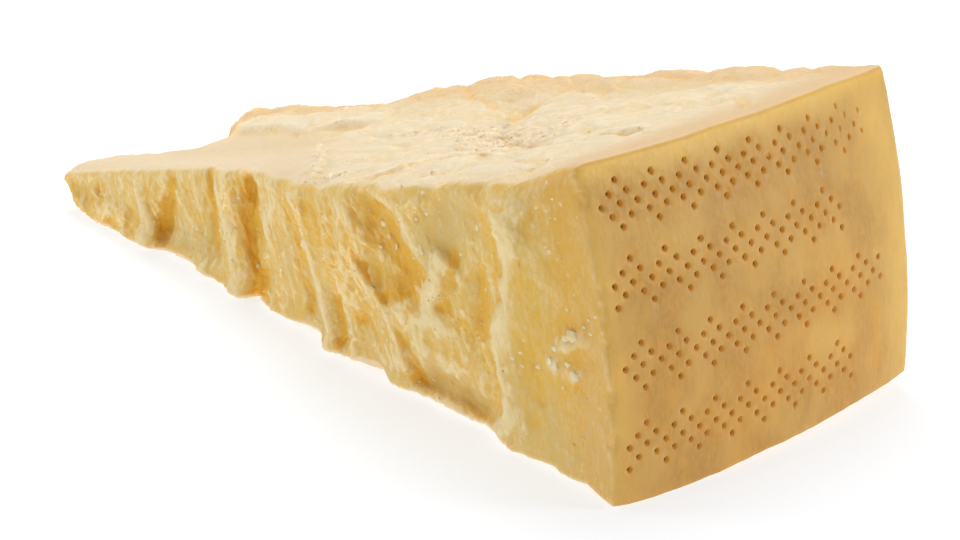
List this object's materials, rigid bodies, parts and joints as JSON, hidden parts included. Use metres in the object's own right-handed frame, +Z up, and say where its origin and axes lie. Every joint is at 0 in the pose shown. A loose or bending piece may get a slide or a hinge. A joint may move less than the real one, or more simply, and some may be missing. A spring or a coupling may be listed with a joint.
{
  "type": "hard cheese chunk",
  "caption": "Broken wedge of aged hard cheese with a thick rind at its broad end, a craggy split side and a thin crumbled tip, lying on a flat cut.",
  "frame": {"origin": "middle of the chunk's bounding box on the ground that it lies on", "axes": "+X from the thin tip to the rind, -Y out of the broken craggy side, +Z up"},
  "size_m": [0.2198, 0.0972, 0.0697],
  "materials": {
    "cheese": "matt to softly waxy, slightly translucent, with a tan rind"
  },
  "bodies": {
    "root": {"parmesan_chunk": "cheese"}
  },
  "joints": []
}
